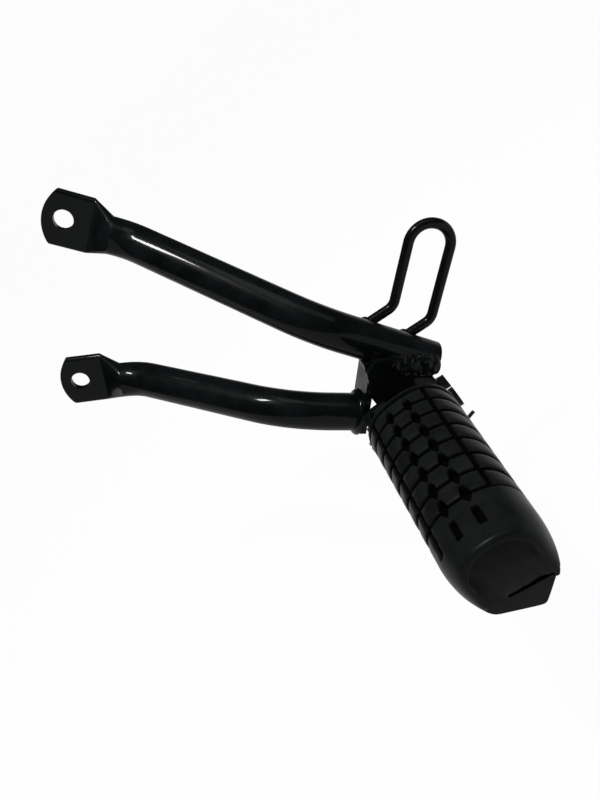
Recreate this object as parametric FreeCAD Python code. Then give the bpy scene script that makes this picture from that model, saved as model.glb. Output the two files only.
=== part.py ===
"""Passenger footrest of a motorbike, left side: two bolt-on stays, a hinge clevis and a folding peg.

X points forward on the bike, Y outboard and Z up. The origin is the centre of the upper bolt hole
on the face that lies against the bike's frame. All sizes are in millimetres.
"""
import math
import os

import FreeCAD
import Part

V = FreeCAD.Vector
X_AXIS = V(1, 0, 0)
Y_AXIS = V(0, 1, 0)

# Stay tubes with flattened ends
TUBE_OD = 22.0
TUBE_WALL = 2.2
FLAT_SLIT = 0.6
STAY_OFFSET = 80.5
FIRST_BEND_RADIUS = 30.0

# Flattened bolt tab at the front end of each stay, measured from its hole
TAB_WIDTH = 33.0
TAB_HOLE = 11.5
TAB_NOSE = 12.0
TAB_CORNER = 5.5
TAB_FLAT = 15.0
TAB_SHOULDER = 12.0
TAB_TO_BEND = 38.0

# Upper stay: slope of its tab below the rearward direction, its second bend and its rear end (x, z)
UPPER_TAB_SLOPE = 54.7
UPPER_BEND = (-81.6, -115.2)
UPPER_END = (-119.9, -175.7)
UPPER_BEND_RADIUS = 60.0

# Lower stay: its hole, tab slope, second bend and rear end (x, z)
LOWER_HOLE = (66.6, -79.0)
LOWER_TAB_SLOPE = 33.1
LOWER_BEND = (-39.1, -147.8)
LOWER_END = (-68.2, -174.3)
LOWER_BEND_RADIUS = 70.0

# Gusset plate across the end of the lower stay
GUSSET_THICK = 4.0
GUSSET_BELOW = 8.5

# Folded clevis bracket
PLATE = 4.0
FOLD_RADIUS = 3.0
EAR_GAP = 40.6
EAR_RADIUS = 8.0
WEB_ABOVE_PIN = 14.5
WEB_BELOW_PIN = 15.0
NOTCH_RUN = 23.0
NOTCH_DROP = 20.0
TONGUE_FRONT = 13.0
TONGUE_SHOULDER = (9.0, 10.0)
TONGUE_TOP = (1.0, 13.5)
TONGUE_ROOT = 2.0
TAB_STEP = 38.0
FRONT_DROP = 11.0
CORNER_RUN = 24.0
CORNER_RISE = 7.0

# Hinge
HINGE_X = -94.9
HINGE_Z = -174.5
HINGE_REACH = 24.5
PIN_DIAMETER = 8.0
PIN_HEAD_DIAMETER = 12.0
PIN_HEAD_HEIGHT = 2.0
RUNNING_GAP = 0.05
EAR_HOLE_GAP = 0.1
AXIAL_GAP = 0.3
WASHER_DIAMETER = 16.0
WASHER_HOLE_GAP = 0.25
PIN_WASHER_THICK = 1.0
THRUST_WASHER_THICK = 1.5
BUSH_WALL = 1.5

# Retaining clip in a groove at the pin's front end
CLIP_THICK = 0.9
CLIP_DIAMETER = 12.0
CLIP_GROOVE_DEPTH = 0.8
CLIP_MOUTH = 5.0
PIN_NOSE = 1.4

# Pressure spring between the rear ear and the knuckle
SPRING_WIRE = 2.0
SPRING_RADIUS = 6.2
SPRING_TURNS = 2
SPRING_PITCH = 2.3
SPRING_LEG = 15.5
SPRING_HOOK = 6.5
SPRING_TURN = 55.0
SPRING_HOOK_RISE = 2.2
SPRING_EASE = 0.05

# Peg arm
KNUCKLE_RADIUS = 9.5
COLLAR_WIDTH = 40.0
COLLAR_HEIGHT = 36.0
COLLAR_THICK = 5.0
RIB_THICK = 8.0
RIB_RISE = 9.0
HEEL_WIDTH = 20.0
HEEL_TOP = 2.0
HEEL_DEPTH = 8.0
STOP_GAP = 0.3
SPIGOT_DIAMETER = 18.0
SPIGOT_LENGTH = 88.0
SPIGOT_CHAMFER = 2.0

# Moulded rubber
RUBBER_START = 14.0
RUBBER_LENGTH = 106.0
RUBBER_WIDTH = 47.6
RUBBER_HEIGHT = 45.0
RUBBER_SHIFT = 1.9
RUBBER_RISE = 6.0
RUBBER_TAPER = 5.0
TREAD_SHIFT = 1.3
RUBBER_SQUARENESS = 2.4
RUBBER_TIP_ROUND = 18.0
RUBBER_TIP_FALL = 14.0
RUBBER_EDGE_ROUND = 5.0
TIP_SHARES = (0.4, 0.7, 0.8, 0.9, 0.96, 1.0)
SECTION_POINTS = 32
TREAD_DEPTH = 2.4
RIM_WIDTH = 3.0
FIRST_ROW = 10.1
ROWS = 7
ROW_PITCH = 11.28
CROSS_GROOVE = 1.2
SHOULDER_HALF = 15.3
SHOULDER_GROOVE = 2.0
PIT_LENGTH = 8.0
PIT_BACK = 1.0
PIT_DEPTH = 3.6
SLOT_WIDTH = 2.8
SLOT_LENGTH = 9.0
SLOT_START = 87.5
SLOT_HALF = 5.2
SLOT_DEPTH = 3.0
FLANK_SLANT = 12.0
END_NOTCH_HEIGHT = 2.2
END_NOTCH_DEPTH = 3.2
END_NOTCH_RISE = 11.0
END_LIP_SETBACK = 2.6
LIP_LENGTH = 16.0
LIP_DROP = 2.5
LIP_SKEW = 4.0
LIP_FRONT = 15.0
LIP_FRONT_RISE = 11.0
LIP_REAR = 16.5
LIP_REAR_RISE = 15.0
LIP_CORNER = 3.0

# Bent rod loop behind the upper stay
ROD = 5.8
LOOP_INBOARD = 8.5
LOOP_FOOT = (-120.5, -137.9)
LOOP_SLOPE = 44.0
LOOP_PITCH = 23.8
LOOP_LEG = 35.6
LOOP_STAGGER = 5.2
LOOP_FOOT_RUN = 26.0
LOOP_FOOT_SLOPE = 4.0
LOOP_BEND_RADIUS = 8.0
LOOP_TOP_FLAT = 0.5

# Weld beads
SEAM_WIDTH = 11.0
SEAM_BACK = 6.0
SEAM_TOP = 0.8
SEAM_SHORT = 2.0
RING_RADIUS = 2.6
GUSSET_BEAD_RADIUS = 3.0
FOOT_BEAD_RADIUS = 4.6

# Values worked out from the driving sizes
TAB_THICK = 2 * TUBE_WALL + FLAT_SLIT
TUBE_RADIUS = TUBE_OD / 2
BORE_RADIUS = TUBE_RADIUS - TUBE_WALL
WEB_INNER = STAY_OFFSET + TUBE_RADIUS
WEB_OUTER = WEB_INNER + PLATE
HINGE_Y = WEB_OUTER + HINGE_REACH
FRONT_EAR_INNER = HINGE_X + EAR_GAP / 2
REAR_EAR_INNER = HINGE_X - EAR_GAP / 2
FRONT_EAR_OUTER = FRONT_EAR_INNER + PLATE
REAR_EAR_OUTER = REAR_EAR_INNER - PLATE
PIN_RADIUS = PIN_DIAMETER / 2
BUSH_BORE = PIN_RADIUS + RUNNING_GAP
BUSH_RADIUS = BUSH_BORE + BUSH_WALL
KNUCKLE_FRONT = FRONT_EAR_INNER - THRUST_WASHER_THICK - AXIAL_GAP
SPRING_SPAN = SPRING_TURNS * SPRING_PITCH + SPRING_WIRE
KNUCKLE_REAR = REAR_EAR_INNER + SPRING_SPAN + AXIAL_GAP
CLIP_X = FRONT_EAR_OUTER + PIN_WASHER_THICK
RUBBER_X = HINGE_X + RUBBER_SHIFT
RUBBER_Y = HINGE_Y + RUBBER_START
RUBBER_Z = HINGE_Z + RUBBER_RISE
RUBBER_END = RUBBER_Y + RUBBER_LENGTH
TREAD_X = RUBBER_X + TREAD_SHIFT


def rearward(slope):
    """Unit vector that runs rearward and falls by the slope in degrees."""
    angle = math.radians(slope)
    return V(-math.cos(angle), 0, -math.sin(angle))


def bent_wire(points, radii):
    """Straight runs through the points, joined by tangent arcs of the given radii."""
    edges = []
    start = points[0]
    for before, corner, after, radius in zip(points, points[1:], points[2:], radii):
        back = (before - corner).normalize()
        ahead = (after - corner).normalize()
        half_turn = (math.pi - back.getAngle(ahead)) / 2
        tangent = radius * math.tan(half_turn)
        middle = (back + ahead).normalize()
        depth = radius / math.cos(half_turn) - radius
        enter = corner + back * tangent
        leave = corner + ahead * tangent
        edges.append(Part.LineSegment(start, enter).toShape())
        edges.append(Part.Arc(enter, corner + middle * depth, leave).toShape())
        start = leave
    edges.append(Part.LineSegment(start, points[-1]).toShape())
    return Part.Wire(edges)


def round_bar(points, radii, radius):
    """Solid round bar that follows a bent wire."""
    circle = Part.makeCircle(radius, points[0], points[1] - points[0])
    return bent_wire(points, radii).makePipe(Part.Face(Part.Wire(circle)))


def x_cylinder(radius, x_from, x_to, y=HINGE_Y, z=HINGE_Z):
    """Cylinder along X."""
    return Part.makeCylinder(radius, abs(x_to - x_from), V(min(x_from, x_to), y, z), X_AXIS)


def box_between(low, high):
    """Box from its low corner to its high corner."""
    return Part.makeBox(high[0] - low[0], high[1] - low[1], high[2] - low[2], V(*low))


def prism(points, sweep):
    """Straight-sided prism: a closed polygon swept along a vector."""
    return Part.Face(Part.makePolygon(points + points[:1])).extrude(sweep)


def oval_wire(along, half_width, half_depth, middle):
    """Flat oval across a tab: two straight sides and two round ends, at a distance along the tab."""
    straight = half_width - half_depth
    out_left = V(along, middle + half_depth, -straight)
    out_right = V(along, middle + half_depth, straight)
    in_right = V(along, middle - half_depth, straight)
    in_left = V(along, middle - half_depth, -straight)
    return Part.Wire([
        Part.LineSegment(out_left, out_right).toShape(),
        Part.Arc(out_right, V(along, middle, half_width), in_right).toShape(),
        Part.LineSegment(in_right, in_left).toShape(),
        Part.Arc(in_left, V(along, middle, -half_width), out_left).toShape(),
    ])


def round_wire(along, radius, middle):
    """Circle across a tab, in four quarter arcs that face the four sides of the oval."""
    def at(degrees):
        angle = math.radians(degrees)
        return V(along, middle + radius * math.cos(angle), radius * math.sin(angle))
    starts = (-45, 45, 135, 225)
    return Part.Wire([Part.Arc(at(a), at(a + 45), at(a + 90)).toShape() for a in starts])


def tab_shapes():
    """Flattened tab with its shoulder, and the hollow inside the shoulder, along +X from the hole."""
    middle = TAB_THICK / 2
    half = TAB_WIDTH / 2
    flat = Part.Face(oval_wire(-TAB_NOSE, half, middle, middle)).extrude(V(TAB_NOSE + TAB_FLAT, 0, 0))
    nose = Part.Wire([
        Part.Arc(V(-TAB_CORNER, 0, half), V(-TAB_NOSE, 0, 0), V(-TAB_CORNER, 0, -half)).toShape(),
        Part.LineSegment(V(-TAB_CORNER, 0, -half), V(TAB_FLAT, 0, -half)).toShape(),
        Part.LineSegment(V(TAB_FLAT, 0, -half), V(TAB_FLAT, 0, half)).toShape(),
        Part.LineSegment(V(TAB_FLAT, 0, half), V(-TAB_CORNER, 0, half)).toShape(),
    ])
    flat = flat.common(Part.Face(nose).extrude(V(0, TAB_THICK, 0)))
    flat = flat.cut(Part.makeCylinder(TAB_HOLE / 2, TAB_THICK, V(0, 0, 0), Y_AXIS))
    shoulder_end = TAB_FLAT + TAB_SHOULDER
    outer_oval = oval_wire(TAB_FLAT, half, middle, middle)
    outer_round = round_wire(shoulder_end, TUBE_RADIUS, TUBE_RADIUS)
    inner_oval = oval_wire(TAB_FLAT, half - TUBE_WALL, FLAT_SLIT / 2, middle)
    inner_round = round_wire(shoulder_end, BORE_RADIUS, TUBE_RADIUS)
    shoulder = Part.makeLoft([outer_oval, outer_round], True, True)
    hollow = Part.makeLoft([inner_oval, inner_round], True, True)
    return flat, shoulder.cut(hollow)


def stay_points(hole, slope, bend, end):
    """Centre line of a stay's tube, from its shoulder to its rear end."""
    start = V(hole[0], TUBE_RADIUS, hole[1])
    direction = rearward(slope)
    return [
        start + direction * (TAB_FLAT + TAB_SHOULDER),
        start + direction * TAB_TO_BEND,
        V(bend[0], STAY_OFFSET, bend[1]),
        V(end[0], STAY_OFFSET, end[1]),
    ]


def stay_tube(hole, slope, points, bend_radius):
    """Bent tube with its flattened, drilled front end, as one piece."""
    radii = (FIRST_BEND_RADIUS, bend_radius)
    tube = round_bar(points, radii, TUBE_RADIUS).cut(round_bar(points, radii, BORE_RADIUS))
    pieces = []
    for piece in tab_shapes():
        piece.rotate(V(0, 0, 0), Y_AXIS, 180 - slope)
        piece.translate(V(hole[0], 0, hole[1]))
        pieces.append(piece)
    return tube.fuse(pieces).removeSplitter()


def gusset_plate(lower_points, upper_bar):
    """Plate square to the lower stay's end, coped to the upper stay."""
    end = lower_points[-1]
    along = (end - lower_points[-2]).normalize()
    rise = V(along.z, 0, -along.x)
    reach = (upper_end_point() - end).Length
    low_inner = end - rise * GUSSET_BELOW - Y_AXIS * TUBE_RADIUS
    high_inner = end + rise * reach - Y_AXIS * TUBE_RADIUS
    sheet = prism([low_inner, high_inner, high_inner + along * GUSSET_THICK,
                   low_inner + along * GUSSET_THICK], Y_AXIS * TUBE_OD)
    cut = sheet.cut(upper_bar)
    return min(cut.Solids, key=lambda solid: solid.CenterOfMass.distanceToPoint(end))


def upper_end_point():
    """Rear end of the upper stay's centre line."""
    return V(UPPER_END[0], STAY_OFFSET, UPPER_END[1])


def clevis_bracket():
    """Folded sheet: a web across the stays and two ears that hold the hinge pin."""
    low = HINGE_Z - WEB_BELOW_PIN
    high = HINGE_Z + WEB_ABOVE_PIN
    ear_end = HINGE_Y + EAR_RADIUS
    height = high - low
    outer = box_between((REAR_EAR_OUTER, WEB_INNER, low), (FRONT_EAR_OUTER, ear_end, high))
    inner = box_between((REAR_EAR_INNER, WEB_OUTER, low), (FRONT_EAR_INNER, ear_end, high))
    outer_folds = [e for e in outer.Edges if is_fold(e, WEB_INNER, height)]
    outer = outer.makeFillet(FOLD_RADIUS + PLATE, outer_folds)
    inner_folds = [e for e in inner.Edges if is_fold(e, WEB_OUTER, height)]
    inner = inner.makeFillet(FOLD_RADIUS, inner_folds)
    side = Part.Wire([
        Part.LineSegment(V(REAR_EAR_OUTER, WEB_INNER, low),
                         V(REAR_EAR_OUTER, HINGE_Y, HINGE_Z - EAR_RADIUS)).toShape(),
        Part.Arc(V(REAR_EAR_OUTER, HINGE_Y, HINGE_Z - EAR_RADIUS), V(REAR_EAR_OUTER, ear_end, HINGE_Z),
                 V(REAR_EAR_OUTER, HINGE_Y, HINGE_Z + EAR_RADIUS)).toShape(),
        Part.LineSegment(V(REAR_EAR_OUTER, HINGE_Y, HINGE_Z + EAR_RADIUS),
                         V(REAR_EAR_OUTER, WEB_INNER, high)).toShape(),
        Part.LineSegment(V(REAR_EAR_OUTER, WEB_INNER, high),
                         V(REAR_EAR_OUTER, WEB_INNER, low)).toShape(),
    ])
    width = FRONT_EAR_OUTER - REAR_EAR_OUTER
    bracket = outer.cut(inner).common(Part.Face(side).extrude(V(width, 0, 0)))
    pin_hole = x_cylinder(PIN_RADIUS + EAR_HOLE_GAP, REAR_EAR_OUTER, FRONT_EAR_OUTER)
    bracket = bracket.cut(clevis_reliefs(low, high) + [pin_hole, pin_head(EAR_HOLE_GAP)])
    return bracket.fuse(web_tongue(high)).removeSplitter()


def web_tongue(high):
    """Upper edge of the web, drawn up beside the stay between the gusset plate and the seam weld."""
    notch = V(REAR_EAR_OUTER + NOTCH_RUN, WEB_INNER, high)
    edge = V(NOTCH_DROP, 0, -NOTCH_RUN).normalize()
    outline = [notch, notch - edge * SEAM_WIDTH]
    outline += [notch + V(x, 0, z) for x, z in (TONGUE_TOP, TONGUE_SHOULDER, (TONGUE_FRONT, 0))]
    outline += [notch + V(TONGUE_FRONT, 0, -TONGUE_ROOT), notch + V(0, 0, -TONGUE_ROOT)]
    return prism(outline, Y_AXIS * PLATE)


def clevis_reliefs(low, high):
    """Cuts in the folded sheet: the slanting edge at the upper stay, the low front and the front corner."""
    fold_reach = PLATE + FOLD_RADIUS
    notch_foot = high - NOTCH_DROP
    edge = prism([V(REAR_EAR_OUTER + NOTCH_RUN, WEB_INNER, high), V(REAR_EAR_OUTER, WEB_INNER, notch_foot),
                  V(REAR_EAR_OUTER, WEB_INNER, high)], Y_AXIS * fold_reach)
    round_share = EAR_RADIUS * math.sqrt(0.5)
    ear_y = HINGE_Y - round_share
    ear_z = HINGE_Z + round_share
    ear_top = prism([V(REAR_EAR_OUTER, WEB_INNER, notch_foot), V(REAR_EAR_OUTER, ear_y, ear_z),
                     V(REAR_EAR_OUTER, ear_y, high), V(REAR_EAR_OUTER, WEB_INNER, high)], X_AXIS * PLATE)
    front = box_between((REAR_EAR_OUTER + TAB_STEP, WEB_INNER, high - FRONT_DROP),
                        (FRONT_EAR_OUTER, ear_y, high))
    corner = prism([V(FRONT_EAR_OUTER - CORNER_RUN, WEB_INNER, low), V(FRONT_EAR_OUTER, WEB_INNER, low),
                    V(FRONT_EAR_OUTER, WEB_INNER, low + CORNER_RISE)], Y_AXIS * (HINGE_Y - WEB_INNER))
    return [edge, ear_top, front, corner]


def is_fold(edge, y, height):
    """Whether an edge is one of the upright edges where the sheet is folded."""
    straight_up = abs(abs(edge.Vertexes[0].Z - edge.Vertexes[1].Z) - height) < 1e-6
    return straight_up and abs(edge.CenterOfMass.y - y) < 1e-6


def pin_head(gap):
    """Countersunk head of the pin, flush with the rear ear, wider all round by a gap."""
    head = PIN_HEAD_DIAMETER / 2 + gap
    return Part.makeCone(head, PIN_RADIUS + gap, PIN_HEAD_HEIGHT, V(REAR_EAR_OUTER, HINGE_Y, HINGE_Z), X_AXIS)


def hinge_pin():
    """Pin through both ears, with a flush head at the rear and a clip groove at the front."""
    nose = CLIP_X + CLIP_THICK + PIN_NOSE
    shank = x_cylinder(PIN_RADIUS, REAR_EAR_OUTER, nose)
    groove = x_cylinder(PIN_DIAMETER, CLIP_X, CLIP_X + CLIP_THICK)
    groove = groove.cut(x_cylinder(PIN_RADIUS - CLIP_GROOVE_DEPTH, CLIP_X, CLIP_X + CLIP_THICK))
    return shank.fuse(pin_head(0)).removeSplitter().cut(groove)


def retaining_clip():
    """Open clip in the pin's groove."""
    clip = x_cylinder(CLIP_DIAMETER / 2, CLIP_X, CLIP_X + CLIP_THICK)
    clip = clip.cut(x_cylinder(PIN_RADIUS - CLIP_GROOVE_DEPTH, CLIP_X, CLIP_X + CLIP_THICK))
    half = CLIP_MOUTH / 2
    mouth = box_between((CLIP_X, HINGE_Y - half, HINGE_Z - CLIP_DIAMETER),
                        (CLIP_X + CLIP_THICK, HINGE_Y + half, HINGE_Z))
    return clip.cut(mouth)


def pressure_spring():
    """Coil spring that presses the knuckle forward, with one leg hooked out past the rear ear."""
    wire = SPRING_WIRE / 2
    start_x = REAR_EAR_INNER + wire
    angle = math.radians(SPRING_TURN)
    outward = V(0, math.cos(angle), -math.sin(angle))
    rings = []
    for turn in range(SPRING_TURNS + 1):
        centre = V(start_x + turn * SPRING_PITCH, HINGE_Y, HINGE_Z)
        rings.append(Part.makeTorus(SPRING_RADIUS, wire, centre, X_AXIS))
    ramps = []
    for turn in range(SPRING_TURNS):
        side = outward if turn % 2 else outward * -1
        low = V(start_x + turn * SPRING_PITCH, HINGE_Y, HINGE_Z) + side * SPRING_RADIUS
        ramps.append(Part.makeCylinder(wire - 2 * SPRING_EASE, SPRING_PITCH, low, X_AXIS))
    root = V(start_x, HINGE_Y, HINGE_Z) + outward * SPRING_RADIUS
    elbow = V(start_x, HINGE_Y, HINGE_Z) + outward * SPRING_LEG
    tip = elbow + V(-SPRING_HOOK, 0, SPRING_HOOK_RISE)
    leg = round_bar([root, elbow, tip], [SPRING_WIRE], wire - SPRING_EASE)
    return rings[0].fuse(rings[1:] + ramps + [leg])


def flat_washer(x_from, thick):
    """Flat washer on the pin."""
    ring = x_cylinder(WASHER_DIAMETER / 2, x_from, x_from + thick)
    return ring.cut(x_cylinder(PIN_RADIUS + WASHER_HOLE_GAP, x_from, x_from + thick))


def peg_arm():
    """Forged arm: knuckle on the pin, stop heel, rib, collar behind the rubber and the spigot in it."""
    knuckle = x_cylinder(KNUCKLE_RADIUS, KNUCKLE_REAR, KNUCKLE_FRONT)
    collar_y = RUBBER_Y - COLLAR_THICK
    collar = superellipse_prism(COLLAR_WIDTH, COLLAR_HEIGHT, collar_y, RUBBER_Y)
    spigot = Part.makeCylinder(SPIGOT_DIAMETER / 2, SPIGOT_LENGTH, V(RUBBER_X, RUBBER_Y, RUBBER_Z), Y_AXIS)
    tip = max(range(len(spigot.Edges)), key=lambda i: spigot.Edges[i].BoundBox.YMin)
    spigot = spigot.makeChamfer(SPIGOT_CHAMFER, [spigot.Edges[tip]])
    top = HINGE_Z + KNUCKLE_RADIUS
    left = RUBBER_X - RIB_THICK / 2
    rib = prism([V(left, HINGE_Y, HINGE_Z), V(left, HINGE_Y, top), V(left, RUBBER_Y, top + RIB_RISE),
                 V(left, RUBBER_Y, HINGE_Z - KNUCKLE_RADIUS), V(left, HINGE_Y, HINGE_Z - KNUCKLE_RADIUS)],
                X_AXIS * RIB_THICK)
    half = HEEL_WIDTH / 2
    heel = box_between((HINGE_X - half, WEB_OUTER + STOP_GAP, HINGE_Z - HEEL_TOP - HEEL_DEPTH),
                       (HINGE_X + half, HINGE_Y, HINGE_Z - HEEL_TOP))
    arm = knuckle.fuse([collar, spigot, rib, heel]).removeSplitter()
    return arm.cut(x_cylinder(BUSH_RADIUS, KNUCKLE_REAR, KNUCKLE_FRONT))


def pivot_bush():
    """Plain bush pressed in the knuckle."""
    sleeve = x_cylinder(BUSH_RADIUS, KNUCKLE_REAR, KNUCKLE_FRONT)
    return sleeve.cut(x_cylinder(BUSH_BORE, KNUCKLE_REAR, KNUCKLE_FRONT))


def section_wire(width, height, y):
    """Closed smooth section of the peg: |x/a|^n + |z/b|^n = 1 about the peg's centre line."""
    power = 2 / RUBBER_SQUARENESS
    points = []
    for step in range(SECTION_POINTS):
        angle = 2 * math.pi * step / SECTION_POINTS
        x = math.copysign(abs(math.cos(angle)) ** power, math.cos(angle)) * width / 2
        z = math.copysign(abs(math.sin(angle)) ** power, math.sin(angle)) * height / 2
        points.append(V(RUBBER_X + x, y, RUBBER_Z + z))
    curve = Part.BSplineCurve()
    curve.interpolate(Points=points, PeriodicFlag=True)
    return Part.Wire(curve.toShape())


def superellipse_prism(width, height, y_from, y_to):
    """Straight bar with the peg's section."""
    return Part.Face(section_wire(width, height, y_from)).extrude(V(0, y_to - y_from, 0))


def rubber_body(inset):
    """Outer form of the rubber, or the same form set in by a depth all round.

    The sides round off over a long stretch at the tip, the top and bottom only close to the end.
    """
    round_start = RUBBER_END - RUBBER_TIP_ROUND
    flat_taper = RUBBER_TAPER * RUBBER_HEIGHT / RUBBER_WIDTH
    stations = [(RUBBER_Y, 0, 0), (round_start, RUBBER_TAPER, flat_taper)]
    for share in TIP_SHARES:
        y = round_start + RUBBER_TIP_ROUND * share
        narrowing = RUBBER_TIP_FALL * (1 - math.sqrt(1 - share ** 2))
        into_edge = max(0, (y - RUBBER_END + RUBBER_EDGE_ROUND) / RUBBER_EDGE_ROUND)
        lowering = 2 * RUBBER_EDGE_ROUND * (1 - math.sqrt(1 - min(1, into_edge) ** 2))
        stations.append((y, RUBBER_TAPER + narrowing, flat_taper + lowering))
    wires = []
    for y, narrower, lower in stations:
        width = RUBBER_WIDTH - narrower - 2 * inset
        height = RUBBER_HEIGHT - lower - 2 * inset
        wires.append(section_wire(width, height, y))
    return Part.makeLoft(wires, True, True)


def row_end(row):
    """Outboard edge of the groove after a tread row, counted from one."""
    return RUBBER_Y + RIM_WIDTH + FIRST_ROW + (row - 1) * ROW_PITCH


def tread_grooves():
    """Grooves between the tread blocks, as cutters that reach down through the top and sides."""
    top = RUBBER_Z + RUBBER_HEIGHT
    middle = RUBBER_Z
    first = RUBBER_Y + RIM_WIDTH
    side = RUBBER_WIDTH
    cutters = []
    for x in (-SHOULDER_HALF, SHOULDER_HALF):
        left = TREAD_X + x - SHOULDER_GROOVE / 2
        cutters.append(box_between((left, first, middle), (left + SHOULDER_GROOVE, row_end(ROWS), top)))
    rim_cut = box_between((TREAD_X - side, first - CROSS_GROOVE, middle), (TREAD_X + side, first, top))
    cutters.append(rim_cut)
    for row in range(1, ROWS + 1):
        y = row_end(row)
        inner = TREAD_X - SHOULDER_HALF
        outer = TREAD_X + SHOULDER_HALF
        cutters.append(box_between((inner, y - CROSS_GROOVE, middle), (outer, y, top)))
        cutters += [flank_groove(y, sign) for sign in (-1, 1)]
    return cutters


def flank_groove(y, sign):
    """Slanting groove between two leaf-shaped blocks on one flank."""
    start = TREAD_X + sign * SHOULDER_HALF
    end = TREAD_X + sign * RUBBER_WIDTH
    low = RUBBER_Z - RUBBER_HEIGHT / 6
    high = RUBBER_Z + RUBBER_HEIGHT
    foot = [V(start, y - CROSS_GROOVE, low), V(end, y - CROSS_GROOVE + FLANK_SLANT, low),
            V(end, y + FLANK_SLANT, low), V(start, y, low)]
    return prism(foot, V(0, 0, high - low))


def smooth_top():
    """Height of the rubber's top where its tip starts to round off."""
    return RUBBER_Z + (RUBBER_HEIGHT - RUBBER_TAPER * RUBBER_HEIGHT / RUBBER_WIDTH) / 2


def tread_pits():
    """Long pits that part the block columns at each row groove, and two slots behind the last row."""
    pits = []
    floor = RUBBER_Z + RUBBER_HEIGHT / 2 - PIT_DEPTH
    for row in range(1, ROWS + 1):
        start = row_end(row) - CROSS_GROOVE / 2 - PIT_BACK - PIT_LENGTH / 2
        for x in (TREAD_X - SLOT_HALF, TREAD_X + SLOT_HALF):
            low = (x - SLOT_WIDTH / 2, start, floor)
            high = (x + SLOT_WIDTH / 2, start + PIT_LENGTH, floor + RUBBER_HEIGHT)
            pits.append(box_between(low, high))
    for x in (TREAD_X - SLOT_HALF, TREAD_X + SLOT_HALF):
        low = (x - SLOT_WIDTH / 2, RUBBER_Y + SLOT_START, smooth_top() - SLOT_DEPTH)
        high = (x + SLOT_WIDTH / 2, RUBBER_Y + SLOT_START + SLOT_LENGTH, RUBBER_Z + RUBBER_HEIGHT)
        pits.append(box_between(low, high))
    return pits


def end_lip():
    """Skewed lip that hangs at the lower end of the rubber."""
    low = RUBBER_Z - RUBBER_HEIGHT / 2 - LIP_DROP
    y = RUBBER_END - LIP_LENGTH
    foot = V(RUBBER_X - LIP_SKEW, y, low)
    outline = [V(RUBBER_X + LIP_FRONT, y, low + LIP_FRONT_RISE), foot,
               V(RUBBER_X - LIP_REAR, y, low + LIP_REAR_RISE), V(RUBBER_X, y, RUBBER_Z)]
    wedge = prism(outline, Y_AXIS * (LIP_LENGTH - END_LIP_SETBACK))
    keel = [e for e in wedge.Edges if abs(e.CenterOfMass.x - foot.x) + abs(e.CenterOfMass.z - foot.z) < 1e-6]
    return wedge.makeFillet(LIP_CORNER, keel)


def end_notch():
    """Notch across the lower part of the end face, and the set-back face below it."""
    bottom = RUBBER_Z - RUBBER_HEIGHT / 2
    notch_low = bottom + END_NOTCH_RISE
    side = RUBBER_WIDTH
    notch = box_between((TREAD_X - side, RUBBER_END - END_NOTCH_DEPTH, notch_low),
                        (TREAD_X + side, RUBBER_END + side, notch_low + END_NOTCH_HEIGHT))
    lip = box_between((TREAD_X - side, RUBBER_END - END_LIP_SETBACK, bottom - side),
                      (TREAD_X + side, RUBBER_END + side, notch_low + END_NOTCH_HEIGHT / 2))
    return [notch, lip]


def peg_rubber():
    """Moulded rubber with tread blocks, pushed over the arm's spigot."""
    core = rubber_body(TREAD_DEPTH)
    grooves = tread_grooves()
    grooves = grooves[0].fuse(grooves[1:]).cut(core)
    rubber = rubber_body(0).cut(grooves)
    rubber = rubber.cut(tread_pits()).cut(end_notch()).fuse(end_lip())
    bore = Part.makeCylinder(SPIGOT_DIAMETER / 2, SPIGOT_LENGTH, V(RUBBER_X, RUBBER_Y, RUBBER_Z), Y_AXIS)
    return max(rubber.cut(bore).Solids, key=lambda solid: solid.Volume)


def loop_points():
    """Centre line of the rod loop: a foot, a leg, a round top, a leg and a foot."""
    y = STAY_OFFSET - LOOP_INBOARD
    climb = math.radians(LOOP_SLOPE)
    leg = V(-math.cos(climb), 0, math.sin(climb))
    across = V(-math.sin(climb), 0, -math.cos(climb))
    foot_climb = math.radians(LOOP_FOOT_SLOPE)
    foot = V(math.cos(foot_climb), 0, math.sin(foot_climb)) * LOOP_FOOT_RUN
    front_bend = V(LOOP_FOOT[0], y, LOOP_FOOT[1])
    rear_bend = front_bend + across * LOOP_PITCH - leg * LOOP_STAGGER
    front_top = front_bend + leg * (LOOP_LEG + LOOP_PITCH / 2)
    rear_top = front_top + across * LOOP_PITCH
    return [front_bend + foot, front_bend, front_top, rear_top, rear_bend, rear_bend + foot]


def guard_loop(points, upper_bar):
    """Bent rod loop, coped where its feet meet the upper stay."""
    turn = (LOOP_PITCH - LOOP_TOP_FLAT) / 2
    rod = round_bar(points, [LOOP_BEND_RADIUS, turn, turn, LOOP_BEND_RADIUS], ROD / 2)
    return max(rod.cut(upper_bar).Solids, key=lambda solid: solid.Volume)


def first_touch(start, finish, solid):
    """First point on the way from start to finish that lies on the skin of a solid."""
    line = Part.LineSegment(start, finish).toShape()
    touches = [pair[0] for pair in line.distToShape(solid.Shells[0])[1]]
    return min(touches, key=lambda point: point.distanceToPoint(start))


def foot_weld(points, upper_bar, loop):
    """Weld blob where one foot of the loop meets the upper stay."""
    foot_end, bend = points
    direction = (foot_end - bend).normalize()
    touch = first_touch(bend, foot_end, upper_bar)
    blob = Part.makeSphere(FOOT_BEAD_RADIUS, touch + direction * ROD / 4)
    return max(blob.cut([upper_bar, loop]).Solids, key=lambda solid: solid.Volume)


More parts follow.
